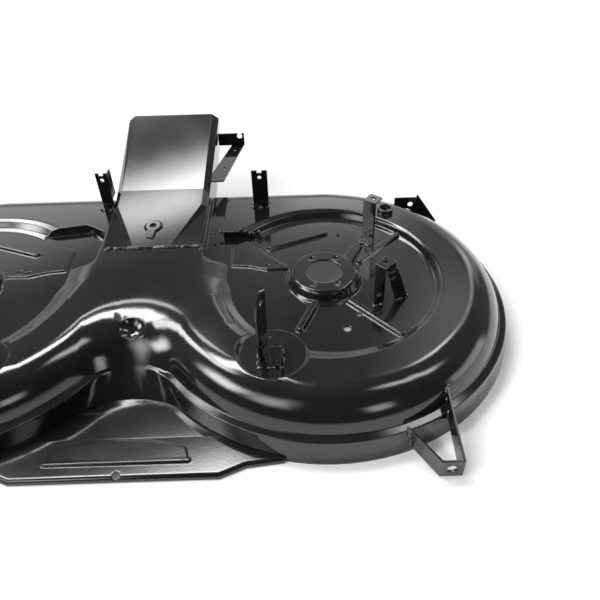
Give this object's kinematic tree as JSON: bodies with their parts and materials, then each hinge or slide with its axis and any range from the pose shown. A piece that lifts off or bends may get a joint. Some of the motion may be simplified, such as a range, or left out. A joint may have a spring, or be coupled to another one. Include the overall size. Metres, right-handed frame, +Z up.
{
  "type": "lawn mower deck",
  "caption": "Bare black painted steel cutting deck for a ride-on lawn mower, with round blade lobes, spindle bosses, a rear discharge chute and welded brackets.",
  "frame": {"origin": "below the middle of the deck, on the plane of the skirt edge", "axes": "+X to the right seen from the front, +Y to the rear along the chute, +Z up"},
  "size_m": [1.1338, 0.7344, 0.195],
  "materials": {
    "black_paint": "gloss"
  },
  "bodies": {
    "root": {"deck_shell": "black_paint", "front_apron": "black_paint", "chute_cover": "black_paint", "chute_side_right": "black_paint", "chute_side_left": "black_paint", "chute_arm": "black_paint", "chute_brace": "black_paint", "rear_hanger_right": "black_paint", "rear_hanger_left": "black_paint", "cover_post_right": "black_paint", "cover_post_left": "black_paint", "idler_bracket_right": "black_paint", "idler_bracket_left": "black_paint", "front_hanger_right": "black_paint", "front_hanger_left": "black_paint", "front_gusset_right": "black_paint", "front_gusset_left": "black_paint", "front_wheel_bracket_right": "black_paint", "front_wheel_bracket_left": "black_paint", "rear_wheel_bracket_right": "black_paint", "rear_wheel_bracket_left": "black_paint", "wash_port_right": "black_paint", "wash_port_left": "black_paint"}
  },
  "joints": []
}
